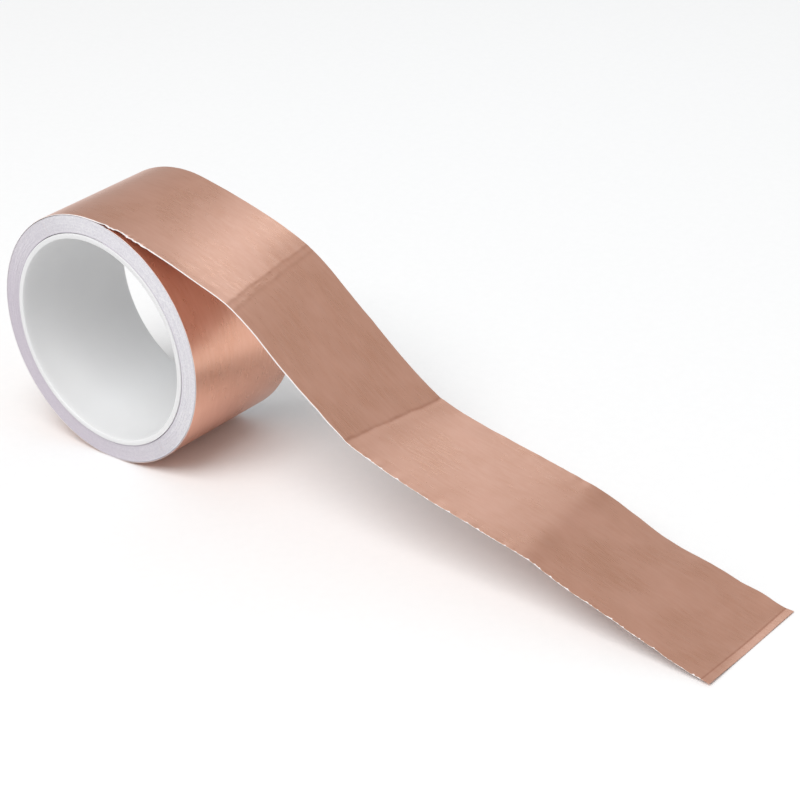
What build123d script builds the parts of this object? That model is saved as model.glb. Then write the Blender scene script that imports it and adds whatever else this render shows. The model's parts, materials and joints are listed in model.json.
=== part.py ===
from build123d import *
import os
from math import cos, radians, sin, tan

# Copper foil tape roll: a moulded core, one long strip of laminate wound on it, and the
# first quarter metre of that strip drawn off over the top and laid down on the bench.
#
# The laminate has three layers: copper foil outside, adhesive, and a release liner inside.
# Frame: millimetres, origin at the middle of the core's bore, +Y along the roll's axis,
# +X the way the strip is drawn off, +Z up.

# ---- driving dimensions ----
BORE_R = 38.1                # 3 inch core
CORE_WALL = 2.1
CORE_WIDTH = 51.0
CORE_LIP_R = 0.6
TAPE_WIDTH = 50.0            # width of the release liner
FOIL_INSET = 0.4             # how far the foil stops short of each edge of the liner

LINER = 0.09
ADHESIVE = 0.035
FOIL = 0.05
AIR = 0.005                  # air between one turn and the next
TURNS = 35                   # turns under the outermost one
SPIN_GAP = 0.3               # room for the wound roll to turn inside its outermost turn

TACK = 0.08                  # adhesive strip that holds the first turn to the core
TACK_ARC = 36.0              # degrees
TACK_INSET = 4.0
PEEL_ANGLE = 78.0            # where the strip leaves the roll, from +X towards +Z
NIP_TRIM = 2.0               # degrees left free where the outermost turn passes under the strip

HINGE_GAP = 0.3              # left free across the strip at each line where it folds
PEEL_GAP = 0.4               # left free in the foil where its end peels off the liner
TAB = 3.0                    # length of the end that is folded under
TAB_GAP = 0.2                # from the folded end to the liner

# The strip from the roll to its end, as stretches between fold lines. Each stretch is a row
# of (length, bend in degrees), level or curved, and bends up where the figure is positive.
LEAD = [(4, 0), (22, -4), (24, -6), (5, 0)]
SLOPE = [(4, 0), (12, -12), (28, 3), (18, 5), (5, 0)]
RUN = [(4, 0), (14, 6), (28, 2), (18, -2), (4, 0)]
TAIL = [(4, 0), (14, -5), (10, 0)]
FREE_END = [(8, 0), (22, 6.1)]
FOLD_A = -7.5                # sharp turn of the strip at each fold line
FOLD_B = 15.0
FOLD_C = -2.0

# ---- derived sizes ----
FOIL_WIDTH = TAPE_WIDTH - 2 * FOIL_INSET
LAMINATE = LINER + ADHESIVE + FOIL
PITCH = LAMINATE + AIR
CORE_R = BORE_R + CORE_WALL
WINDING_R = CORE_R + TACK + AIR + PITCH / 4
OUTER_TURN_R = WINDING_R + TURNS * PITCH + SPIN_GAP
HALF_TURN = 180.0

# each layer's lower and upper side, measured outwards from the liner's inner side
LINER_BAND = (0.0, LINER)
ADHESIVE_BAND = (LINER, LINER + ADHESIVE)
FOIL_BAND = (LINER + ADHESIVE, LAMINATE)

# the folded end: the foil turns round the adhesive's edge and lies under it
NOSE_R = FOIL + ADHESIVE / 2
NOSE_OFFSET = LAMINATE - NOSE_R
FLAP_BAND = (NOSE_OFFSET - NOSE_R, NOSE_OFFSET - ADHESIVE / 2)


def along(angle, length=1.0):
    """A step of the given length at an angle from +X towards +Z."""
    return Vector(length * cos(radians(angle)), length * sin(radians(angle)))


def spiral_arcs(start_angle, radius, halves, trim=0.0, end_trim=0.0):
    """Half-turn arcs that wind clockwise and outwards, as (centre, radius, start, size)."""
    arcs = []
    for half in range(halves):
        side = -1 if half % 2 == 0 else 1
        cut = trim if half == 0 else 0.0
        end_cut = end_trim if half == halves - 1 else 0.0
        arcs.append(
            (
                along(start_angle, side * PITCH / 4),
                radius + half * PITCH / 2,
                start_angle - half * HALF_TURN - cut,
                cut + end_cut - HALF_TURN,
            )
        )
    return arcs


def spiral_layer(arcs, band):
    """Draw the outline of one layer of a wound strip, inside a BuildLine."""
    low = [CenterArc(c, r + band[0], start, size) for c, r, start, size in arcs]
    high = [CenterArc(c, r + band[1], start, size) for c, r, start, size in arcs]
    Line(low[0] @ 0, high[0] @ 0)
    Line(low[-1] @ 1, high[-1] @ 1)


def walk(start, heading, moves):
    """Follow a row of (length, bend) moves and return the end point and heading."""
    point = start
    for length, bend in moves:
        chord = length
        if bend:
            radius = length / radians(abs(bend))
            chord = 2 * radius * sin(radians(abs(bend)) / 2)
        point = point + along(heading + bend / 2, chord)
        heading += bend
    return point, heading


def trimmed(moves, front, back):
    """The same moves with the first and the last one cut short."""
    (first, bend), *middle = moves
    cut = [(first - front, bend), *middle]
    last, bend = cut[-1]
    return [*cut[:-1], (last - back, bend)]


def strip_layer(start, heading, moves, band, front=0.0, back=0.0):
    """Draw the outline of one layer along a row of moves, inside a BuildLine."""
    point = start + along(heading, front)
    for side in band:
        at, angle = point, heading
        for length, bend in trimmed(moves, front, back):
            normal = along(angle + 90)
            if bend:
                radius = length / radians(bend)
                centre = at + normal * radius
                CenterArc(centre, abs(radius - side), angle - 90 if bend > 0 else angle + 90, bend)
            else:
                Line(at + normal * side, at + normal * side + along(angle, length))
            at, angle = walk(at, angle, [(length, bend)])
    first, last = along(heading + 90), along(angle + 90)
    Line(point + first * band[0], point + first * band[1])
    Line(at + last * band[0], at + last * band[1])


def save(name, piece):
    """Label a finished piece and write it to its own file."""
    piece.label = name
    export_step(piece, f"parts/{name}.step")


os.makedirs("parts", exist_ok=True)

# ---- core: a plain ring with rounded lips ----
with BuildPart() as core:
    with BuildSketch(Plane.XZ):
        Circle(CORE_R)
        Circle(BORE_R, mode=Mode.SUBTRACT)
    extrude(amount=CORE_WIDTH / 2, both=True)
    fillet(core.edges().filter_by(GeomType.CIRCLE), CORE_LIP_R)
save("core", core.part)

# ---- core tack tape: a thin adhesive strip between the core and the first turn ----
with BuildPart() as core_tack_tape:
    with BuildSketch(Plane.XZ):
        with BuildLine():
            inner = CenterArc((0, 0), CORE_R, PEEL_ANGLE - TACK_ARC, TACK_ARC)
            outer = CenterArc((0, 0), CORE_R + TACK, PEEL_ANGLE - TACK_ARC, TACK_ARC)
            Line(inner @ 0, outer @ 0)
            Line(inner @ 1, outer @ 1)
        make_face()
    extrude(amount=TAPE_WIDTH / 2 - TACK_INSET, both=True)
save("core_tack_tape", core_tack_tape.part)


LAYERS = [
    ("foil", FOIL_BAND, FOIL_WIDTH),
    ("adhesive", ADHESIVE_BAND, FOIL_WIDTH),
    ("liner", LINER_BAND, TAPE_WIDTH),
]

# ---- winding: the turns that lie under the outermost one ----
winding_arcs = spiral_arcs(PEEL_ANGLE, WINDING_R, 2 * TURNS)
for layer, band, width in LAYERS:
    with BuildPart() as winding:
        with BuildSketch(Plane.XZ):
            with BuildLine():
                spiral_layer(winding_arcs, band)
            make_face()
        extrude(amount=width / 2, both=True)
    save(f"winding_{layer}", winding.part)

# ---- outer turn: the last turn round the roll, up to where the strip leaves it ----
hinge_trim = HINGE_GAP / 2 / radians(1) / OUTER_TURN_R
outer_arcs = spiral_arcs(PEEL_ANGLE, OUTER_TURN_R, 2, NIP_TRIM, hinge_trim)
for layer, band, width in LAYERS:
    with BuildPart() as outer_turn:
        with BuildSketch(Plane.XZ):
            with BuildLine():
                spiral_layer(outer_arcs, band)
            make_face()
        extrude(amount=width / 2, both=True)
    save(f"outer_turn_{layer}", outer_turn.part)

# ---- where each stretch of the strip starts ----
peel_point = along(PEEL_ANGLE, OUTER_TURN_R + PITCH * 3 / 4)
peel_heading = PEEL_ANGLE - 90
fold_a, heading_a = walk(peel_point, peel_heading, LEAD)
fold_b, heading_b = walk(fold_a, heading_a + FOLD_A, SLOPE)
fold_c, heading_c = walk(fold_b, heading_b + FOLD_B, RUN)
peel_line, peel_line_heading = walk(fold_c, heading_c + FOLD_C, TAIL)

# the free end runs straight on from its last bend until its folded edge meets the floor
floor = along(PEEL_ANGLE, -PITCH / 4).Y - OUTER_TURN_R - LAMINATE
bend_end, end_heading = walk(peel_line, peel_line_heading, FREE_END)
nose_drop = NOSE_OFFSET * cos(radians(end_heading)) - NOSE_R
last_run = (floor - bend_end.Y - nose_drop) / sin(radians(end_heading))
free_end_moves = [*FREE_END, (last_run, 0)]
nose_base, _ = walk(bend_end, end_heading, [(last_run, 0)])

# ---- lead, slope and run: three stretches of the whole laminate ----
STRETCHES = [
    ("lead", peel_point, peel_heading, LEAD),
    ("slope", fold_a, heading_a + FOLD_A, SLOPE),
    ("run", fold_b, heading_b + FOLD_B, RUN),
]
for stretch, start, heading, moves in STRETCHES:
    for layer, band, width in LAYERS:
        with BuildPart() as piece:
            with BuildSketch(Plane.XZ):
                with BuildLine():
                    strip_layer(start, heading, moves, band, HINGE_GAP / 2, HINGE_GAP / 2)
                make_face()
            extrude(amount=width / 2, both=True)
        save(f"{stretch}_{layer}", piece.part)

# ---- tail: foil and adhesive up to the line where the free end peels off ----
tail_heading = heading_c + FOLD_C
for layer, band, width in LAYERS[:2]:
    with BuildPart() as tail:
        with BuildSketch(Plane.XZ):
            with BuildLine():
                strip_layer(fold_c, tail_heading, TAIL, band, HINGE_GAP / 2, PEEL_GAP / 2)
            make_face()
        extrude(amount=width / 2, both=True)
    save(f"tail_{layer}", tail.part)

# the liner carries on under the free end and stops short of the folded edge
liner_moves = [*TAIL, *free_end_moves]
with BuildPart() as tail_liner:
    with BuildSketch(Plane.XZ):
        with BuildLine():
            strip_layer(fold_c, tail_heading, liner_moves, LINER_BAND, HINGE_GAP / 2, TAB + TAB_GAP)
        make_face()
    extrude(amount=TAPE_WIDTH / 2, both=True)
save("tail_liner", tail_liner.part)

# ---- free end: foil and adhesive that peel up off the liner ----
for layer, band, width in LAYERS[:2]:
    with BuildPart() as free_end:
        with BuildSketch(Plane.XZ):
            with BuildLine():
                strip_layer(peel_line, peel_line_heading, free_end_moves, band, PEEL_GAP / 2)
            make_face()
        extrude(amount=width / 2, both=True)
    save(f"free_end_{layer}", free_end.part)

# ---- end tab: the foil turned round the adhesive's edge and pressed against its underside ----
across = along(end_heading + 90)
nose_centre = nose_base + across * NOSE_OFFSET
tab_start = nose_base + along(end_heading, -TAB)
with BuildPart() as end_tab:
    with BuildSketch(Plane.XZ):
        with BuildLine():
            fold_out = CenterArc(nose_centre, NOSE_R, end_heading - 90, HALF_TURN)
            fold_in = CenterArc(nose_centre, ADHESIVE / 2, end_heading - 90, HALF_TURN)
            Line(fold_out @ 1, fold_in @ 1)
            Line(fold_out @ 0, tab_start + across * FLAP_BAND[0])
            Line(fold_in @ 0, tab_start + across * FLAP_BAND[1])
            Line(tab_start + across * FLAP_BAND[0], tab_start + across * FLAP_BAND[1])
        make_face()
    extrude(amount=FOIL_WIDTH / 2, both=True)
save("end_tab", end_tab.part)

# ---- where the joints are, in the frame's millimetres ----
mid = LAMINATE / 2
for name, point, heading in [
    ("peel_point", peel_point, peel_heading),
    ("fold_a", fold_a, heading_a + FOLD_A / 2),
    ("fold_b", fold_b, heading_b + FOLD_B / 2),
    ("fold_c", fold_c, heading_c + FOLD_C / 2),
    ("peel_line", peel_line, peel_line_heading),
]:
    offset = LINER if name == "peel_line" else mid
    at = point + along(heading + 90, offset)
    print(f"{name}: x {at.X:.3f} z {at.Y:.3f}")
drawn = sum(length for length, _ in [*LEAD, *SLOPE, *RUN, *liner_moves])
wound = sum(radians(abs(size)) * r for _, r, _, size in [*winding_arcs, *outer_arcs])
print(f"floor z {floor:.3f}; strip drawn off {drawn:.1f}; tape in all {(drawn + wound) / 1000:.2f} m")
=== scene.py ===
import json
import math

import bpy
import numpy as np
from mathutils import Matrix, Vector


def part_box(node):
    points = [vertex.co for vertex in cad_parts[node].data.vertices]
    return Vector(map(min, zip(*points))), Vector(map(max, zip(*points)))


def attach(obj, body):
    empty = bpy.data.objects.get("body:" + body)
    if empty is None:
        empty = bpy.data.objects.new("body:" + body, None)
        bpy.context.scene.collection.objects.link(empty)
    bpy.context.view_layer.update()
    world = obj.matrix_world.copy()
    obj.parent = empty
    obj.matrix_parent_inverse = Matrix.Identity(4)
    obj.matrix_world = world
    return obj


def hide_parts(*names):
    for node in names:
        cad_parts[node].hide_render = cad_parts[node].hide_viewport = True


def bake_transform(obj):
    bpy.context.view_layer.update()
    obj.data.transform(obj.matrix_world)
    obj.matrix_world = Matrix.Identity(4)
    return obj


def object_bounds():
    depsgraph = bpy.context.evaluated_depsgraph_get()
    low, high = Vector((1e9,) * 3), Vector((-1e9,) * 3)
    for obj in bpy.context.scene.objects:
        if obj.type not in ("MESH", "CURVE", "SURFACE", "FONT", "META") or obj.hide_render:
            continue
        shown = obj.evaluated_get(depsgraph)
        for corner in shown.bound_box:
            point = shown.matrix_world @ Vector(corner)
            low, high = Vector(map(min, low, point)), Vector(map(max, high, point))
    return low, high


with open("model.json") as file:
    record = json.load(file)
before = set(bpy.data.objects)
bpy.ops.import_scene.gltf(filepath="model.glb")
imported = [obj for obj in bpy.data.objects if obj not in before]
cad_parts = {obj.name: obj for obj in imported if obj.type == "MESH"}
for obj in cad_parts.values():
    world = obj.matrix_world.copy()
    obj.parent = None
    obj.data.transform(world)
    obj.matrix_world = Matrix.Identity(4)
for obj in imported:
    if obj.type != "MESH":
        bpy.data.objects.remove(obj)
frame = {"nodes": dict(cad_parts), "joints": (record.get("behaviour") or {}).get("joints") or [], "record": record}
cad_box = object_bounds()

# A copper foil tape roll. Lengths are metres, in the CAD frame: +Y along the roll's axis,
# +X the way the strip is drawn off, +Z up. MM turns the tape's own small sizes to metres.
MM = 0.001

# ---- the laminate, measured outwards from the liner's inner side ----
LINER = 0.09 * MM
ADHESIVE = 0.035 * MM
FOIL = 0.05 * MM
LAMINATE = LINER + ADHESIVE + FOIL
AIR = 0.005 * MM                        # between one turn and the next
PITCH = LAMINATE + AIR
BANDS = {
    "liner": (0.0, LINER),
    "adhesive": (LINER, LINER + ADHESIVE),
    "foil": (LINER + ADHESIVE, LAMINATE),
}

# ---- sizes and places taken from the frame ----
HALF_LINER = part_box("winding_liner")[1].y
HALF_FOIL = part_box("winding_foil")[1].y
HALF_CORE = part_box("core")[1].y
CORE_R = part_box("core")[1].x
FLOOR = cad_box[0].z
END_X = cad_box[1].x
JOINTS = {j["name"]: Vector(j["pos_m"]) for j in frame["joints"]}
MOUNTS = {m["name"]: m for m in frame["record"]["mounts"]}
BORE_R = MOUNTS["core_bore"]["dims"]["r_mm"] * MM
PEEL = JOINTS["strip_lift"]
PEEL_ANGLE = math.atan2(PEEL.z, PEEL.x)
PEEL_R = math.hypot(PEEL.x, PEEL.z) - LAMINATE / 2

# ---- the roll ----
OUTER_LIP = (0.15 * MM, 0.15 * MM)      # how deep and how long the core's edges are rounded
INNER_LIP = (0.4 * MM, 2.6 * MM)
TACK = 0.08 * MM                        # thickness of the core's tack tape
TURNS = 35
WINDING_R = CORE_R + TACK + AIR
WOUND_PITCH = PITCH + 0.0025 * MM       # the wound turns fill a little of the spin gap
NIP_TRIM = math.radians(2.0)            # the outermost turn stops this short of a full one
FLARE = 0.075 * MM                      # how much the liner's slit edge thickens
FLARE_WIDTH = 0.38 * MM
FLARE_STEP = 0.02 * MM                  # width over which it thickens
TELESCOPE = 0.10 * MM                   # how far a turn may sit to one side
END_TURN = 0.05                         # share of a turn over which that fades at both ends

# ---- the strip's course: rows of (length in mm, bend in degrees) between its fold lines ----
LEAD = [(4, 0), (22, -4), (24, -6), (5, 0)]
SLOPE = [(4, 0), (12, -12), (28, 3), (18, 5), (5, 0)]
RUN = [(4, 0), (14, 6.7), (28, 2), (18, -1.2), (4, 0)]
TAIL = [(4, 0), (14, 0.5), (18, 2), (22, 3)]
FOLD_A, FOLD_B, FOLD_C = -7.5, 13.5, -7.5           # sharp turn at each fold line, degrees
WIDTH_A, WIDTH_B, WIDTH_C = 1.4 * MM, 1.6 * MM, 14 * MM   # length of strip that each turn takes
LINE_APART = 1.7 * MM                               # half the space between the first fold's lines
LINE_WIDTH = 0.9 * MM
FIRST_SHARE = 0.6                                   # share of that fold at the first of them
TAB = 3.0 * MM                                      # length of the folded end
TAB_GAP = 0.2 * MM                                  # between the folded end and the liner
NOSE_R = FOIL + ADHESIVE / 2                        # outer radius of that fold
END_SHORT = 0.1 * MM                                # the strip stops this far inside the CAD's
FLOOR_GAP = 0.02 * MM                               # kept free above the bench and under it

# The strip isn't drawn off square. Rows of (distance, value), in mm: SKEW is how much later
# the near edge bends and the far one earlier, TWIST is how far the near edge lies above the
# far one beyond that, and LATE is how much later the whole strip bends.
SKEW = [(0, 0), (38, 0.5), (55, 5.2), (75, 5.5), (100, 2.5), (115, -0.5), (123, -1.5), (136, 4.5),
        (150, 3), (190, 3), (264, 0)]
TWIST = [(0, 0), (45, 0.2), (62, 2.6), (85, 1.5), (108, 3.4), (124, 2.4), (135, 2.2), (165, 0.6),
         (225, -0.4), (246, -1.3), (264, 0)]
LATE = [(0, 0), (50, 0), (65, -1), (100, -1), (122, -2.2), (150, 0), (190, 4), (264, 4)]

# ---- the strip's unevenness: heights, and how far in from an edge they reach ----
LOOSE_WAVE = 0.17 * MM
NEAR_RIPPLE, FAR_RIPPLE, RIPPLE_REACH = 0.30 * MM, 0.16 * MM, 3.0 * MM
ARCH, FAR_DIP, FAR_RISE, FAR_REACH = 0.9 * MM, 1.4 * MM, 1.6 * MM, 11 * MM
PEEL_LIFT, PEEL_LIFT_REACH = 1.1 * MM, 8.0 * MM
PEEL_KINK, PEEL_KINK_REACH = 0.9 * MM, 0.9 * MM
DENT, LINE_A1, LINE_A2, LINE_B = 0.03 * MM, 0.03 * MM, 0.02 * MM, 0.035 * MM
TAB_SPRING, TAB_LINE = 0.15 * MM, 0.03 * MM
FOLD_JITTER = 0.55 * MM                 # how far the fold lines wander from straight

# ---- how far each kind of wear sets the layers' edges in ----
EDGE_NEAR, EDGE_FAR, EDGE_FAR_CUT = 0.05 * MM, 0.08 * MM, 0.05 * MM
EDGE_CUT, EDGE_BARE, EDGE_BARE_MORE = 0.06 * MM, 0.30 * MM, 0.18 * MM
EDGE_RAGGED, EDGE_TORN, EDGE_WORN = 0.60 * MM, 0.70 * MM, 0.12 * MM

# ---- where the strip's pieces meet, between the lines where it bends ----
SEAM_ROLL = -12 * MM
SEAM_LEAD = 30 * MM
SEAM_SLOPE = 88 * MM
SEAM_RUN = 156 * MM
SEAM_TAIL = 204 * MM

# ---- how fine the meshes are ----
ROW = 0.5 * MM
RING_ROW = 0.8 * MM
SLAB_COLUMNS = 104
RING_COLUMNS = 40
SPIRAL_STEPS = 180                      # steps in one wound turn
CORE_STEPS = 240
LIP_STEPS = 12
NOSE_STEPS = 8
SMOOTH_BELOW = math.radians(38)         # edges that turn more than this stay sharp
FINE_REACH = 5 * MM                     # rows lie closer together this near a fold
LATTICE = 64                            # cells of noise before it repeats
TABLE_ROUNDING = 7                      # how far each way a table's corners are rounded, in mm


def length_of(moves):
    """Length of a row of moves, in metres."""
    return sum(length for length, _ in moves) * MM


S_A = length_of(LEAD)
S_B = S_A + length_of(SLOPE)
S_C = S_B + length_of(RUN)
S_JOINT = {
    "strip_lift": 0.0,
    "fold_a": S_A,
    "fold_b": S_B,
    "fold_c": S_C,
    "end_peel": S_C + length_of(TAIL[:2]) + 10 * MM,
}
RING_START = -(2 * math.pi - NIP_TRIM) * PEEL_R


# =====================================================================================
# Seeded noise
# =====================================================================================
def lattice_noise(a, b, seed):
    """Smooth noise from -1 to 1 at points (a, b), one lattice cell a unit."""
    grid = np.random.default_rng(seed).uniform(-1, 1, (LATTICE, LATTICE))
    i, j = np.floor(a).astype(int), np.floor(b).astype(int)
    f, g = a - i, b - j
    f, g = f * f * (3 - 2 * f), g * g * (3 - 2 * g)
    i, j, after_i, after_j = (k % LATTICE for k in (i, j, i + 1, j + 1))
    low = grid[i, j] * (1 - f) + grid[after_i, j] * f
    high = grid[i, after_j] * (1 - f) + grid[after_i, after_j] * f
    return low * (1 - g) + high * g


def rough_noise(a, b, seed):
    """Two octaves of smooth noise."""
    return 0.67 * lattice_noise(a, b, seed) + 0.33 * lattice_noise(2.1 * a, 2.1 * b, seed + 1)


def smooth(t):
    """0 before 0, 1 after 1, and a smooth step between."""
    t = np.clip(t, 0, 1)
    return t * t * (3 - 2 * t)


def hump(t):
    """A bell, 1 at 0."""
    return np.exp(-t * t)


def rise(s, start, length):
    """A smooth step from 0 to 1 along s, from a start on and over a length, both in mm."""
    return smooth((s - start * MM) / (length * MM))


def bell(s, at, width):
    """A bell along s: 1 at a place in mm, and 0.37 a width in mm away from it."""
    return hump((s - at * MM) / (width * MM))


def line_noise(s, length, seed):
    """Rough noise along s, with cells of a length in mm."""
    return rough_noise(s / (length * MM), 0 * s, seed)


def table(rows, s):
    """Read rows of (distance, value), all in mm, at s in metres. Its corners are rounded."""
    rows = np.array(rows) * MM
    shifts = np.linspace(-TABLE_ROUNDING, TABLE_ROUNDING, 11) * MM
    return sum(np.interp(s + shift, rows[:, 0], rows[:, 1]) for shift in shifts) / len(shifts)


# =====================================================================================
# Surface of the strip
# =====================================================================================
def bend_rows():
    """Heading along the strip without its sharp folds, as distances and degrees."""
    at, angle = [0.0], [math.degrees(PEEL_ANGLE) - 90]
    for length, bend in [*LEAD, *SLOPE, *RUN, *TAIL]:
        at.append(at[-1] + length * MM)
        angle.append(angle[-1] + bend)
    return np.array(at), np.array(angle)


def heading(q):
    """Heading in radians at the bend distances q."""
    at, angle = bend_rows()
    total = np.interp(q, at, angle)
    total = total + FIRST_SHARE * FOLD_A * smooth((q - S_A + LINE_APART) / WIDTH_A + 0.5)
    total = total + (1 - FIRST_SHARE) * FOLD_A * smooth((q - S_A - LINE_APART) / WIDTH_A + 0.5)
    total = total + FOLD_B * smooth((q - S_B) / WIDTH_B + 0.5)
    total = total + FOLD_C * smooth((q - S_C) / WIDTH_C + 0.5)
    return np.radians(total)


def fold_line_jitter(y):
    """How far the sharp folds wander from straight, across the strip."""
    return FOLD_JITTER * line_noise(y, 5, 31)


def bend_distance(s, y):
    """Distance along the strip at which the course bends as it does at (s, y)."""
    near = -y / HALF_LINER
    return s - table(SKEW, s) * near - table(LATE, s) - fold_line_jitter(y)


def floor_clamp(z):
    """Keep a height above the floor, with a soft start."""
    soft = 0.5 * MM
    above = z - FLOOR
    return FLOOR + np.where(above > 4 * soft, above, soft * np.logaddexp(0, above / soft))


def flat_course(s, y):
    """x and z of the drawn off strip's inner side, on a grid of s (rows) by y (columns)."""
    step = s[1] - s[0]
    angle = heading(bend_distance(s[:, None], y[None, :]))
    middle = (angle[1:] + angle[:-1]) / 2
    start = np.zeros((1, len(y)))
    x = np.vstack([start, np.cumsum(np.cos(middle), 0) * step])
    z = np.vstack([start, np.cumsum(np.sin(middle), 0) * step])
    x = x + PEEL_R * math.cos(PEEL_ANGLE)
    z = z + PEEL_R * math.sin(PEEL_ANGLE)
    z = z - table(TWIST, s)[:, None] * (y / HALF_LINER)[None, :] / 2
    return x, floor_clamp(z)


def wound_course(s):
    """x and z of the outermost turn's inner side, for s below 0."""
    angle = PEEL_ANGLE - s / PEEL_R
    radius = PEEL_R + PITCH * s / (2 * math.pi * PEEL_R)
    return radius * np.cos(angle), radius * np.sin(angle)


def small_waves(s, y):
    """Height of the strip's waves, creases and dents above its smooth course."""
    edge_near = np.exp(-(HALF_LINER + y) / RIPPLE_REACH)
    edge_far = np.exp(-(HALF_LINER - y) / RIPPLE_REACH)
    q = bend_distance(s, y)
    total = LOOSE_WAVE * rise(s, 25, 90) * rough_noise(s / (23 * MM), y / (17 * MM), 1)
    total = total + tail_wave(s, y)
    ripple = rough_noise(s / (6.5 * MM), y / (30 * MM), 3)
    total = total + NEAR_RIPPLE * edge_near * ripple * rise(s, 70, 40)
    total = total + FAR_RIPPLE * edge_far * ripple * rise(s, 50, 40)
    total = total + crease_a(q - S_A, y)
    total = total + crease_b(q - S_B, y)
    total = total + peel_kink(s, y)
    return total + tab_step(s - (END - TAB))


def crumple_place(y):
    """Where across the strip the first fold is crumpled most: a little in from the near edge."""
    return 0.3 + 0.7 * rise(y, -23, 4) * (1 - rise(y, -6, 16))


def crumple(d, y):
    """Small irregular dents, from -1 to 1."""
    return rough_noise(d / (0.9 * MM), y / (1.5 * MM), 43) * bell(d, -0.2, 2.6)


def crease_a(d, y):
    """Two fine wrinkled lines with small dents between them."""
    share = 0.7 + 0.3 * line_noise(y, 4, 41)
    first = smooth((d + LINE_APART) / LINE_WIDTH + 0.5)
    second = smooth((d - LINE_APART) / LINE_WIDTH + 0.5)
    lines = (LINE_A1 * first + LINE_A2 * second) * (1 - rise(d, 3, 12))
    return DENT * crumple(d, y) * crumple_place(y) - lines * share


def crease_b(d, y):
    """One fine pressed line."""
    share = 0.7 + 0.3 * line_noise(y, 7, 51)
    return -LINE_B * share * bell(d, 0, 0.45)


def tail_wave(s, y):
    """The tail arches a little, and its far edge dips and rises again before it lies down."""
    arch = ARCH * bell(s, 236, 16)
    far = FAR_RISE * bell(s, 256, 7) - FAR_DIP * bell(s, 220, 15)
    return arch + far * np.exp(-(HALF_LINER - y) / FAR_REACH)


def peel_kink(s, y):
    """The near edge comes off the roll a little early, with small kinks in it."""
    from_edge = y + HALF_LINER
    lift = PEEL_LIFT * rise(s, -9, 18) * (1 - rise(s, 50, 20))
    place = bell(s, 9, 12) * rise(s, -4, 3)
    kinks = PEEL_KINK * place * (0.2 + rough_noise(s / (1.6 * MM), y / (3 * MM), 61))
    lift = lift * np.exp(-from_edge / PEEL_LIFT_REACH)
    return lift + kinks * np.exp(-from_edge / PEEL_KINK_REACH)


def tab_step(d):
    """The folded tab springs up a little, with a line pressed into the foil before it."""
    return TAB_SPRING * np.clip(d / TAB, 0, 1) - TAB_LINE * bell(d, 0, 0.3)


def fold_shade_and_dulling(s, y):
    """How dull the foil has gone along its folds and dents, and how dark painted shade makes them there, from 0 to
    1.

    Each line is one fold or set of dents: how strong it is, how patchy and how wide."""
    q = bend_distance(s, y)
    a, b = q - S_A, q - S_B
    patchy = 0.65 + 0.35 * line_noise(y, 3, 47)
    wander = 0.6 * MM * line_noise(y, 9, 53)
    total = 0.55 * patchy * bell(a + LINE_APART, 0, 0.8)
    total = total + 0.45 * patchy * bell(a - LINE_APART, 0, 0.9)
    total = total + 1.1 * np.maximum(crumple(a, y) - 0.15, 0) * crumple_place(y)
    total = total + 0.95 * patchy * bell(b - wander, 0, 0.8)
    total = total + 0.35 * bell(q - S_C, 0, 3.5) * patchy
    total = total + bell(s - (END - TAB), 0, 0.35)
    return np.clip(total, 0, 1)


class Surface:
    """The strip's inner side on a fine grid, read by interpolation."""

    STEP = 0.25 * MM
    COLUMNS = 201

    def __init__(self, start, stop):
        """The smooth course from start to stop, without its small waves."""
        back = int(math.ceil(-start / self.STEP)) + 2
        ahead = int(math.ceil(stop / self.STEP)) + 2
        self.s = np.arange(-back, ahead + 1) * self.STEP
        self.y = np.linspace(-HALF_LINER, HALF_LINER, self.COLUMNS)
        wound = self.s < 0
        x, z = (np.zeros((len(self.s), len(self.y))) for _ in range(2))
        wx, wz = wound_course(self.s[wound])
        x[wound], z[wound] = wx[:, None], wz[:, None]
        x[~wound], z[~wound] = flat_course(self.s[~wound], self.y)
        y = np.broadcast_to(self.y, x.shape)
        self.points = np.stack([x, y, z], 2)

    def press(self, height):
        """Move the surface along its normals by height(s, y)."""
        normal = self.normals()
        lift = height(self.s[:, None], self.y[None, :])
        lift = np.maximum(lift, FLOOR + FLOOR_GAP - self.points[..., 2])
        self.points = self.points + normal * lift[..., None]
        self.normal = self.normals()

    def normals(self):
        """Unit normals of the grid, pointing out of the tape."""
        along = np.gradient(self.points, axis=0)
        across = np.gradient(self.points, axis=1)
        normal = np.cross(along, across)
        return normal / np.linalg.norm(normal, axis=2, keepdims=True)

    def read(self, field, s, y):
        """A field of the grid at points (s, y)."""
        a = (s - self.s[0]) / self.STEP
        b = (y - self.y[0]) / (self.y[1] - self.y[0])
        i = np.clip(np.floor(a).astype(int), 0, len(self.s) - 2)
        j = np.clip(np.floor(b).astype(int), 0, len(self.y) - 2)
        f, g = (a - i)[..., None], (b - j)[..., None]
        low = field[i, j] * (1 - f) + field[i + 1, j] * f
        high = field[i, j + 1] * (1 - f) + field[i + 1, j + 1] * f
        return low * (1 - g) + high * g

    def at(self, s, y, height):
        """Points at a height above the inner side."""
        s, y = np.broadcast_arrays(s, y)
        return self.read(self.points, s, y) + self.read(self.normal, s, y) * height


def strip_end():
    """Distance along the strip at which its end reaches the CAD model's."""
    s = np.arange(0, 300) * MM
    x, _ = flat_course(s, np.array([-HALF_LINER, 0, HALF_LINER]))
    reach = x.max(1)
    return float(np.interp(END_X - NOSE_R - END_SHORT, reach, s))


END = strip_end()
surface = Surface(RING_START, END)
surface.press(small_waves)


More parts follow.
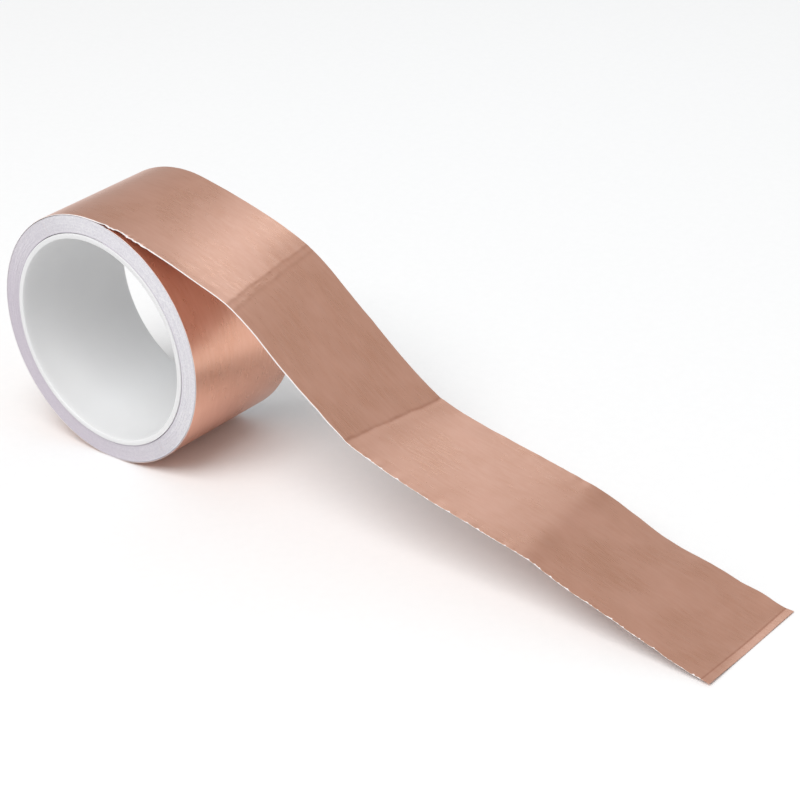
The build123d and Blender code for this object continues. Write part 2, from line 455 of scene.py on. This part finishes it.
# =====================================================================================
# Meshes
# =====================================================================================
def add_mesh(name, points, faces, uvs=None):
    """A mesh object from points, faces and (u, v) of each point."""
    mesh = bpy.data.meshes.new(name)
    mesh.from_pydata(points.tolist(), [], faces)
    if uvs is not None:
        layer = mesh.uv_layers.new(name="UVMap")
        corner = np.zeros(len(mesh.loops), np.int32)
        mesh.loops.foreach_get("vertex_index", corner)
        layer.data.foreach_set("uv", uvs[corner].astype(np.float32).ravel())
    mesh.polygons.foreach_set("use_smooth", [True] * len(mesh.polygons))
    mesh.set_sharp_from_angle(angle=SMOOTH_BELOW)
    mesh.update()
    piece = bpy.data.objects.new(name, mesh)
    bpy.context.scene.collection.objects.link(piece)
    return piece


def grid_faces(rows, columns, first, flip):
    """Quads of a grid whose points are numbered row by row from first."""
    faces = []
    for i in range(rows - 1):
        for j in range(columns - 1):
            a = first + i * columns + j
            quad = (a, a + columns, a + columns + 1, a + 1)
            faces.append(quad[::-1] if flip else quad)
    return faces


def tube_faces(rings, sides, closed):
    """Quads round a tube of rings, and on to its first ring again if it is closed."""
    faces = []
    for i in range(rings if closed else rings - 1):
        here, there = i * sides, (i + 1) % rings * sides
        for k in range(sides):
            after = (k + 1) % sides
            faces.append((here + k, here + after, there + after, there + k))
    return faces


def rim_loop(rows, columns):
    """Indices round a grid's outside."""
    top = list(range(columns))
    right = [i * columns + columns - 1 for i in range(1, rows)]
    bottom = [(rows - 1) * columns + j for j in range(columns - 2, -1, -1)]
    left = [i * columns for i in range(rows - 2, 0, -1)]
    return top + right + bottom + left


def slab(name, low, high, s, y):
    """A closed sheet between two grids of points, with (y, s) as its UVs."""
    rows, columns = low.shape[:2]
    count = rows * columns
    points = np.concatenate([low.reshape(-1, 3), high.reshape(-1, 3)])
    uv = np.stack(np.broadcast_arrays(y, s), 2).reshape(-1, 2)
    faces = grid_faces(rows, columns, 0, True) + grid_faces(rows, columns, count, False)
    loop = rim_loop(rows, columns)
    for a, b in zip(loop, loop[1:] + loop[:1]):
        faces.append((a, b, b + count, a + count))
    return add_mesh(name, points, faces, np.concatenate([uv, uv]))


def columns_across(half, count):
    """Places across the strip from -1 to 1, closer together at both edges."""
    margin = 3.0
    fine = np.arange(0, margin, 0.3) * MM
    middle = np.linspace(margin * MM, 2 * half - margin * MM, count)
    return np.concatenate([fine, middle, 2 * half - fine[::-1]]) / half - 1


def rows_along(start, stop, step):
    """Distances from start to stop, closer together near a fold line or the strip's end."""
    s = np.linspace(start, stop, 4000)
    sharp = (S_A, S_B - 2 * MM, END)
    close = sum(smooth(2 - np.abs(s - at) / FINE_REACH) for at in sharp)
    density = np.concatenate([[0], np.cumsum(1 + close[1:])])
    count = max(2, int(round(density[-1] / len(s) * (stop - start) / step)) + 1)
    return np.interp(np.linspace(0, density[-1], count), density, s)


def edges(s):
    """How far the foil's and the liner's near and far edges stand in from the full width."""
    cut = EDGE_CUT * (1 + line_noise(s, 2.3, 71))
    bare = EDGE_BARE + EDGE_BARE_MORE * bell(s, 12, 22)
    bare = bare * rise(s, -70, 30) * (1 - rise(s, 108, 16))
    nick = smooth(line_noise(s, 1.1, 73) / 0.75 - 0.15)
    ragged = EDGE_RAGGED * nick * rise(s, 108, 30)
    torn = EDGE_TORN * nick * bell(s, 9, 12)
    near = EDGE_NEAR + cut + bare + ragged + torn
    far = EDGE_FAR + EDGE_FAR_CUT * line_noise(s, 2.9, 79)
    handled_wear_and_low_shade = EDGE_WORN * rise(s, 125, 20)
    wear_and_fold_shade = handled_wear_and_low_shade * (1 + line_noise(s, 1.5, 83))
    return {"foil": (near, far), "adhesive": (near, far), "liner": (wear_and_fold_shade, 0 * s)}


def places(s, layer, count):
    """Places across one layer of the strip at distances s, from one uneven edge to the other."""
    y = columns_across(HALF_LINER, count)[None, :] * HALF_LINER
    near, far = edges(s)[layer]
    share = np.abs(y) / HALF_LINER * 3 - 2
    return y + np.where(y < 0, near, -far) * smooth(share)


def layer_slab(name, layer, start, stop, step=ROW, count=SLAB_COLUMNS):
    """One layer of the strip between two distances."""
    s = rows_along(start, stop, step)[:, None]
    y = places(s, layer, count)
    low, high = BANDS[layer]
    piece = slab(name, surface.at(s, y, low), surface.at(s, y, high), s + 0 * y, y + 0 * s)
    if layer == "foil":
        # the foil gets a point attribute for painted shade and real dulling along its folds, dents and the tab's
        # pressed line
        wear_and_fold_shade = piece.data.attributes.new("fold_shade_and_dulling", "FLOAT", "POINT")
        wear_and_fold_shade.data.foreach_set("value", np.tile(fold_shade_and_dulling(s, y).ravel(), 2).astype(np.float32))
    return piece


def spiral_solid(name, start_radius, turns, section, seed):
    """A strip wound clockwise and outwards. section is its outline in (y, height)."""
    count = int(turns * SPIRAL_STEPS) + 1
    turn = np.arange(count) / SPIRAL_STEPS
    angle = PEEL_ANGLE - turn * 2 * math.pi
    radius = start_radius + turn * WOUND_PITCH
    ends = smooth(turn / END_TURN) * smooth((turns - turn) / END_TURN)
    shift = TELESCOPE * telescope(turn, seed) * ends
    sides = len(section)
    points = np.empty((count, sides, 3))
    for k, (y, height) in enumerate(section):
        points[:, k, 0] = (radius + height) * np.cos(angle)
        points[:, k, 1] = y + shift
        points[:, k, 2] = (radius + height) * np.sin(angle)
    faces = tube_faces(count, sides, closed=False)
    faces.append(tuple(range(sides))[::-1])
    faces.append(tuple((count - 1) * sides + k for k in range(sides)))
    length = turn * 2 * math.pi * radius
    u = np.array([y for y, _ in section])
    uv = np.stack(np.broadcast_arrays(u[None, :], length[:, None]), 2).reshape(-1, 2)
    return add_mesh(name, points.reshape(-1, 3), faces, uv)


def telescope(turn, seed):
    """How far each turn sits to one side, from -1 to 1, the same for all its layers."""
    slow = lattice_noise(turn / 2.7, 0 * turn, seed)
    each = lattice_noise(turn * 3.1, 0 * turn + 9, seed + 1)
    return 0.6 * slow + 0.4 * each


def plain_section(half, band):
    """A layer's outline, a plain rectangle."""
    low, high = band
    return [(-half, low), (half, low), (half, high), (-half, high)]


def flared_section(half):
    """The liner's outline: its slit edges are thicker than its middle."""
    top, inner = LINER + FLARE, half - FLARE_WIDTH
    low = [(-half, 0.0), (half, 0.0)]
    right = [(half, top), (inner, top), (inner - FLARE_STEP, LINER)]
    left = [(-y, height) for y, height in right[::-1]]
    return low + right + left


def lathe(name, profile, steps):
    """A ring turned about the Y axis from a closed profile of (radius, y)."""
    profile = np.array(profile)
    angle = np.arange(steps) / steps * 2 * math.pi
    points = np.empty((steps, len(profile), 3))
    points[..., 0] = profile[None, :, 0] * np.cos(angle)[:, None]
    points[..., 1] = profile[None, :, 1]
    points[..., 2] = profile[None, :, 0] * np.sin(angle)[:, None]
    return add_mesh(name, points.reshape(-1, 3), tube_faces(steps, len(profile), closed=True))


def core_profile():
    """The core's section: a wall with four rounded lips, as (radius, y)."""
    corners = [
        (CORE_R, HALF_CORE, 90),
        (CORE_R, -HALF_CORE, 0),
        (BORE_R, -HALF_CORE, -90),
        (BORE_R, HALF_CORE, -180),
    ]
    profile = []
    for radius, y, first in corners:
        deep, long = OUTER_LIP if radius == CORE_R else INNER_LIP
        centre_r = radius + deep * (-1 if radius == CORE_R else 1)
        centre_y = y - math.copysign(long, y)
        for turn in np.radians(np.linspace(first, first - 90, LIP_STEPS + 1)):
            profile.append((centre_r + deep * math.cos(turn), centre_y + long * math.sin(turn)))
        profile.extend(wall_points(radius, y))
    return profile


def wall_points(radius, y):
    """A few points down each long wall, so that it isn't one face."""
    if y > 0 and radius == CORE_R:
        return [(CORE_R, HALF_CORE * t) for t in (0.8, 0.4, 0, -0.4, -0.8)]
    if y < 0 and radius == BORE_R:
        return [(BORE_R, HALF_CORE * t) for t in (-0.8, -0.4, 0, 0.4, 0.8)]
    return []


def end_tab(name):
    """The end of the foil, turned round the adhesive's edge and pressed flat underneath."""
    y = places(np.array([[END]]), "foil", SLAB_COLUMNS)
    under = [LAMINATE - 2 * NOSE_R, LAMINATE - NOSE_R - ADHESIVE / 2]
    outer, inner = nose_rows(y, NOSE_R), nose_rows(y, ADHESIVE / 2)
    back = rows_along(END, END - TAB, -ROW)[1:]
    outer += [surface.at(np.array([[s]]), y, under[0])[0] for s in back]
    inner += [surface.at(np.array([[s]]), y, under[1])[0] for s in back]
    low, high = np.array(inner), np.array(outer)
    s = (END + np.arange(len(outer)) * ROW)[:, None]
    return slab(name, low, high, s + 0 * y, y + 0 * s)


def nose_rows(y, radius):
    """Rows of points round the folded end, from its top to its underside."""
    base = surface.at(np.array([[END]]), y, LAMINATE - NOSE_R)[0]
    before = surface.at(np.array([[END - 2 * ROW]]), y, LAMINATE - NOSE_R)[0]
    along = (base - before) / np.linalg.norm(base - before, axis=1, keepdims=True)
    up = surface.read(surface.normal, np.array([[END]]) + 0 * y, y)[0]
    rows = []
    for turn in np.linspace(0, math.pi, NOSE_STEPS + 1):
        rows.append(base + radius * (math.cos(turn) * up + math.sin(turn) * along))
    return rows


# =====================================================================================
# Materials
# =====================================================================================
class Nodes:
    """A new material's node tree, with short calls for the nodes used here."""

    def __init__(self, name):
        self.material = bpy.data.materials.new(name)
        self.material.use_nodes = True
        self.tree = self.material.node_tree
        self.shader = self.tree.nodes["Principled BSDF"]

    def add(self, kind, **settings):
        """A new node with the given settings."""
        node = self.tree.nodes.new(kind)
        for key, value in settings.items():
            setattr(node, key, value)
        return node

    def link(self, out, into):
        """Join an output to an input."""
        self.tree.links.new(out, into)

    def set(self, **values):
        """Set plain numbers on the shader, by socket name with _ for each space."""
        for key, value in values.items():
            self.shader.inputs[key.replace("_", " ")].default_value = value

    def feed(self, **outs):
        """Link outputs to the shader, by socket name with _ for each space."""
        for key, out in outs.items():
            self.link(out, self.shader.inputs[key.replace("_", " ")])

    def scaled(self, out, scale):
        """A coordinate multiplied by three numbers."""
        node = self.add("ShaderNodeVectorMath", operation="MULTIPLY")
        self.link(out, node.inputs[0])
        node.inputs[1].default_value = scale
        return node.outputs[0]

    def noise(self, vector, scale, detail=2.0, roughness=0.5):
        """Noise from 0 to 1 at a coordinate."""
        node = self.add("ShaderNodeTexNoise")
        node.inputs["Scale"].default_value = scale
        node.inputs["Detail"].default_value = detail
        node.inputs["Roughness"].default_value = roughness
        self.link(vector, node.inputs["Vector"])
        return node.outputs["Fac"]

    def ramp(self, value, stops):
        """A colour ramp over (position, colour) stops."""
        node = self.add("ShaderNodeValToRGB")
        while len(node.color_ramp.elements) < len(stops):
            node.color_ramp.elements.new(0.5)
        for element, (position, colour) in zip(node.color_ramp.elements, stops):
            element.position = position
            element.color = (*colour, 1)
        self.link(value, node.inputs["Fac"])
        return node.outputs["Color"]

    def span(self, value, low, high, start=0.3, stop=0.7):
        """A value from start to stop taken to low to high."""
        node = self.add("ShaderNodeMapRange")
        node.inputs["From Min"].default_value = start
        node.inputs["From Max"].default_value = stop
        node.inputs["To Min"].default_value = low
        node.inputs["To Max"].default_value = high
        self.link(value, node.inputs["Value"])
        return node.outputs["Result"]

    def mix(self, share, first, second):
        """A colour between two others."""
        node = self.add("ShaderNodeMix", data_type="RGBA")
        self.plug(share, node.inputs[0])
        self.plug(first, node.inputs[6])
        self.plug(second, node.inputs[7])
        return node.outputs[2]

    def plug(self, value, socket):
        """Link a socket, or set a plain number or colour."""
        if isinstance(value, bpy.types.NodeSocket):
            self.link(value, socket)
        elif isinstance(value, tuple):
            socket.default_value = (*value, 1)
        else:
            socket.default_value = value

    def maths(self, operation, first, second=0.0):
        """One operation on two values."""
        node = self.add("ShaderNodeMath", operation=operation)
        self.plug(first, node.inputs[0])
        self.plug(second, node.inputs[1])
        return node.outputs[0]

    def bump(self, height, distance):
        """A normal raised by a height from 0 to 1, at most by a distance."""
        node = self.add("ShaderNodeBump")
        node.inputs["Distance"].default_value = distance
        node.inputs["Strength"].default_value = 1.0
        self.link(height, node.inputs["Height"])
        return node.outputs["Normal"]


def copper_material():
    """Rolled copper foil: satin, with fine streaks along the tape, cloudy patches, and folds that are dulled and
    darkened with painted shade.
    """
    n = Nodes("copper_foil")
    uv = n.add("ShaderNodeTexCoord").outputs["UV"]
    fine = n.noise(n.scaled(uv, (1500, 240, 1)), 1.0, 1.5)
    broad = n.noise(n.scaled(uv, (850, 130, 1)), 1.0, 1.0)
    cloud = n.noise(n.scaled(uv, (46, 40, 1)), 1.0, 3.0, 0.55)
    wear_and_fold_shade = n.add("ShaderNodeAttribute", attribute_name="fold_shade_and_dulling").outputs["Fac"]
    colour = n.ramp(cloud, [(0.30, (0.735, 0.385, 0.265)), (0.70, (0.825, 0.455, 0.335))])
    colour = n.mix(n.span(broad, 0.0, 0.2), colour, (0.92, 0.58, 0.46))
    # painted shade: folds, dents and the tab's pressed line are darkened towards dark copper
    colour = n.mix(n.maths("MULTIPLY", wear_and_fold_shade, 0.6), colour, (0.40, 0.17, 0.11))
    rough = n.maths("ADD", n.span(fine, 0.26, 0.32), n.span(cloud, -0.02, 0.04))
    rough = n.maths("ADD", rough, n.maths("MULTIPLY", wear_and_fold_shade, 0.15))
    tangent = n.add("ShaderNodeTangent", direction_type="UV_MAP", uv_map="UVMap").outputs[0]
    n.feed(Base_Color=colour, Roughness=rough, Normal=n.bump(broad, 0.014 * MM), Tangent=tangent)
    n.set(Metallic=1.0, Anisotropic=0.4)
    return n.material


def liner_material():
    """Thin coated release paper: white at its bare edges, warmer where copper shows through."""
    n = Nodes("release_liner")
    uv = n.add("ShaderNodeTexCoord").outputs["UV"]
    fibre = n.noise(n.scaled(uv, (900, 500, 1)), 1.0, 3.0, 0.6)
    across = n.add("ShaderNodeSeparateXYZ")
    n.link(uv, across.inputs[0])
    edge = n.span(n.maths("ABSOLUTE", across.outputs[0]), 0, 1, HALF_FOIL - MM, HALF_FOIL)
    backed = n.mix(n.span(fibre, 0, 1), (0.66, 0.46, 0.40), (0.72, 0.52, 0.46))
    bare = n.mix(n.span(fibre, 0, 1), (0.80, 0.76, 0.77), (0.86, 0.83, 0.84))
    colour = n.mix(edge, backed, bare)
    n.feed(Base_Color=colour, Roughness=n.span(fibre, 0.34, 0.46), Normal=n.bump(fibre, 0.01 * MM))
    return n.material


LOW_SIDE = (-0.82, 0, -0.57)            # towards the roll's lower side, away from the strip, where the wound liner's side gets painted shade


def wound_liner_material():
    """The wound liner's slit edges: white with concentric bands and fine speckle, with lilac painted shade low
    down and next to the core.
    """
    n = Nodes("wound_liner")
    place = n.add("ShaderNodeTexCoord").outputs["Object"]
    flat = n.scaled(place, (1, 0, 1))
    radius = n.add("ShaderNodeVectorMath", operation="LENGTH")
    n.link(flat, radius.inputs[0])
    ring = n.add("ShaderNodeCombineXYZ")
    n.link(n.maths("MULTIPLY", radius.outputs["Value"], 2600.0), ring.inputs[0])
    n.link(n.noise(flat, 30.0, 1.0), ring.inputs[1])
    bands = n.noise(ring.outputs[0], 1.0, 2.0)
    speckle = n.noise(place, 1700.0, 2.0, 0.75)
    cloud = n.noise(flat, 60.0, 2.0)
    base = n.mix(n.span(bands, 0, 1), (0.58, 0.565, 0.61), (0.69, 0.68, 0.71))
    base = n.mix(n.span(speckle, 0, 0.7, 0.42, 0.62), base, (0.76, 0.75, 0.76))
    base = n.mix(n.span(cloud, 0, 0.3), base, (0.60, 0.57, 0.63))
    low = n.add("ShaderNodeVectorMath", operation="DOT_PRODUCT")
    n.link(place, low.inputs[0])
    low.inputs[1].default_value = LOW_SIDE
    # painted shade: the side darkens to lilac towards the roll's lower left
    handled_wear_and_low_shade = n.span(low.outputs["Value"], 0, 0.6, -20 * MM, 37 * MM)
    base = n.mix(handled_wear_and_low_shade, base, (0.45, 0.385, 0.455))
    # painted shade: a darker lilac band next to the core, where the winding meets it
    inner = n.span(radius.outputs["Value"], 1, 0, WINDING_R, WINDING_R + 0.6 * MM)
    base = n.mix(n.maths("MULTIPLY", inner, 0.55), base, (0.52, 0.44, 0.56))
    n.feed(Base_Color=base, Normal=n.bump(speckle, 0.035 * MM))
    n.set(Roughness=0.6)
    return n.material


def adhesive_material():
    """Acrylic adhesive: pale and glossy, with a fine uneven coat."""
    n = Nodes("acrylic_adhesive")
    place = n.add("ShaderNodeTexCoord").outputs["Object"]
    coat = n.noise(place, 900.0, 2.0)
    colour = n.mix(coat, (0.78, 0.72, 0.62), (0.86, 0.83, 0.76))
    n.feed(Base_Color=colour, Roughness=n.span(coat, 0.18, 0.30), Normal=n.bump(coat, 0.01 * MM))
    return n.material


def core_material():
    """White moulded plastic, slightly translucent, with a faint moulded grain."""
    n = Nodes("white_plastic")
    place = n.add("ShaderNodeTexCoord").outputs["Object"]
    grain = n.noise(place, 1500.0, 2.0)
    cloud = n.noise(place, 45.0, 2.0)
    colour = n.mix(cloud, (0.66, 0.66, 0.665), (0.71, 0.71, 0.71))
    n.feed(Base_Color=colour, Roughness=n.span(grain, 0.36, 0.44), Normal=n.bump(grain, 0.008 * MM))
    n.set(Subsurface_Weight=0.25, Subsurface_Radius=(3 * MM, 3 * MM, 3 * MM), Subsurface_Scale=1.0)
    return n.material


def floor_material():
    """A plain pale floor."""
    n = Nodes("pale_floor")
    place = n.add("ShaderNodeTexCoord").outputs["Object"]
    grain = n.noise(place, 300.0, 1.0)
    n.feed(Base_Color=n.mix(grain, (0.82, 0.82, 0.82), (0.84, 0.84, 0.84)))
    n.set(Roughness=0.9)
    return n.material


MATERIALS = {
    "foil": copper_material(),
    "liner": liner_material(),
    "adhesive": adhesive_material(),
}
WOUND_LINER = wound_liner_material()
CORE_PLASTIC = core_material()


def dress(piece, material):
    """Give a piece its material."""
    piece.data.materials.clear()
    piece.data.materials.append(material)


# =====================================================================================
# Pieces
# =====================================================================================
def build_core():
    """The white plastic ring that the tape is wound on."""
    piece = lathe("core_ring", core_profile(), CORE_STEPS)
    dress(piece, CORE_PLASTIC)
    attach(piece, "roll")
    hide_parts("core")


def build_winding():
    """The turns under the outermost one: three spirals, one for each layer."""
    for layer, band in BANDS.items():
        section = flared_section(HALF_LINER) if layer == "liner" else plain_section(HALF_FOIL, band)
        piece = spiral_solid(f"wound_{layer}", WINDING_R, TURNS, section, 5)
        dress(piece, WOUND_LINER if layer == "liner" else MATERIALS[layer])
        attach(piece, "roll")
        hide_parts(f"winding_{layer}")


def build_ring():
    """The outermost turn, which stays with the strip."""
    for layer in BANDS:
        piece = layer_slab(f"outer_{layer}", layer, RING_START, SEAM_ROLL, RING_ROW, RING_COLUMNS)
        dress(piece, MATERIALS[layer])
        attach(piece, "outer_turn")
        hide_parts(f"outer_turn_{layer}")


def build_bend(name, stretch, joint, start, stop, layers):
    """One length of the strip between two distances, for each of its layers."""
    direction = float(heading(np.array([S_JOINT[joint]]))[0])
    for layer in layers:
        stop_at = END - TAB - TAB_GAP if layer == "liner" and stretch == "tail" else stop
        piece = layer_slab(f"{name}_{layer}", layer, start, stop_at)
        dress(piece, MATERIALS[layer])
        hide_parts(f"{stretch}_{layer}")
        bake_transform(piece)


def build_strip():
    """The drawn off strip, from the roll to its end."""
    both = ("foil", "adhesive")
    every = (*both, "liner")
    build_bend("leave", "lead", "strip_lift",
               SEAM_ROLL, SEAM_LEAD, every)
    build_bend("first_fold", "slope", "fold_a",
               SEAM_LEAD, SEAM_SLOPE, every)
    build_bend("second_fold", "run", "fold_b",
               SEAM_SLOPE, SEAM_RUN, every)
    build_bend("third_fold", "tail", "fold_c",
               SEAM_RUN, SEAM_TAIL, every)
    build_bend("end_length", "free_end", "end_peel",
               SEAM_TAIL, END, both)


def build_tab():
    """The folded end of the foil."""
    piece = end_tab("folded_tab")
    dress(piece, MATERIALS["foil"])
    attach(piece, "free_end")
    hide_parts("end_tab")


def dress_tack():
    """The CAD model's tack tape is right as it is, and only needs its material."""
    dress(frame["nodes"]["core_tack_tape"], MATERIALS["adhesive"])


build_core()
build_winding()
build_ring()
build_strip()
build_tab()
dress_tack()


# =====================================================================================
# Floor, light and camera
# =====================================================================================
def direction(azimuth, elevation):
    """A unit vector. Azimuth 0 points along -Y and 90 along +X; both are in degrees."""
    a, e = math.radians(azimuth), math.radians(elevation)
    return Vector((math.sin(a) * math.cos(e), -math.cos(a) * math.cos(e), math.sin(e)))


CAMERA_BACK = direction(41.74, 27.56)
CAMERA_AIM = Vector((0.0742, 0.0486, -0.0345))
CAMERA_DISTANCE = 0.954
CAMERA_ROLL = -3.85                     # degrees
CAMERA_LENS = 119.2
FLOOR_REACH = 3.0
WORLD_GREY = 0.56
HIGHLIGHT = (0.044, 0, 0.036)           # a point on the strip where it mirrors a softbox
HIGHLIGHT_SLOPE = 18.5                  # how steeply the strip slopes down there, in degrees
BOX_DISTANCE = 0.6
KEY_DISTANCE = 3.5


def build_floor():
    """A plain pale plane, far larger than the view."""
    corners = [(-1, -1), (1, -1), (1, 1), (-1, 1)]
    below = FLOOR - FLOOR_GAP
    points = np.array([(x * FLOOR_REACH, y * FLOOR_REACH, below) for x, y in corners])
    floor = add_mesh("studio_floor", points, [(0, 1, 2, 3)])
    floor.data.materials.append(floor_material())


def aimed(location, target):
    """A rotation that looks from one point at another."""
    return (Vector(target) - Vector(location)).to_track_quat("-Z", "Y").to_euler()


def reflected(point, slope, distance):
    """Where a light lies that the camera sees mirrored in a strip sloping down at a point."""
    tilt = math.radians(slope)
    normal = Vector((math.sin(tilt), 0, math.cos(tilt)))
    return Vector(point) + (2 * normal.dot(CAMERA_BACK) * normal - CAMERA_BACK) * distance


def softbox(name, location, target, width, height, radiance, shift=(0, 0), spin=0):
    """A rectangular studio light of an even brightness, given as red, green and blue.

    shift moves it to its right and up in its own plane, and spin turns it there, in degrees."""
    lamp = bpy.data.lights.new(name, "AREA")
    lamp.shape = "RECTANGLE"
    lamp.size, lamp.size_y = width, height
    lamp.color = [value / max(radiance) for value in radiance]
    lamp.energy = max(radiance) * math.pi * width * height
    box = bpy.data.objects.new(name, lamp)
    turn = aimed(location, target).to_matrix()
    box.location = location + turn @ Vector((*shift, 0))
    box.rotation_euler = (turn @ Matrix.Rotation(math.radians(spin), 3, "Z")).to_euler()
    bpy.context.scene.collection.objects.link(box)


def build_lights():
    """Two small boxes mirrored by the strip, and a large soft one above the camera's left."""
    mirror = reflected(HIGHLIGHT, HIGHLIGHT_SLOPE, BOX_DISTANCE)
    softbox("lead_box", mirror, HIGHLIGHT, 0.125, 0.20, (0.72, 0.94, 1.10), (0.052, -0.005), -30)
    softbox("run_box", mirror, HIGHLIGHT, 0.14, 0.145, (0.42, 0.54, 0.62), (-0.015, -0.158))
    key = direction(15, 58) * KEY_DISTANCE
    softbox("key_box", key, (0.08, 0, 0), 2.4, 2.4, (6.0, 6.0, 6.0))


def build_world():
    """An even grey all round."""
    world = bpy.data.worlds.new("studio")
    world.use_nodes = True
    background = world.node_tree.nodes["Background"]
    background.inputs["Color"].default_value = (WORLD_GREY, WORLD_GREY, WORLD_GREY, 1)
    background.inputs["Strength"].default_value = 1.0
    bpy.context.scene.world = world


def build_camera():
    """The photograph's view."""
    back, roll = CAMERA_BACK, math.radians(CAMERA_ROLL)
    level = Vector((-back.y, back.x, 0)).normalized()
    right = level * math.cos(roll) + back.cross(level) * math.sin(roll)
    turn = Matrix((right, back.cross(right), back)).transposed().to_4x4()
    lens = bpy.data.cameras.new("camera")
    lens.lens = CAMERA_LENS
    lens.sensor_width = 36
    camera = bpy.data.objects.new("camera", lens)
    camera.matrix_world = Matrix.Translation(CAMERA_AIM + back * CAMERA_DISTANCE) @ turn
    bpy.context.scene.collection.objects.link(camera)
    bpy.context.scene.camera = camera


build_floor()
build_world()
build_lights()
build_camera()
bpy.context.scene.view_settings.view_transform = "Standard"
bpy.context.view_layer.update()
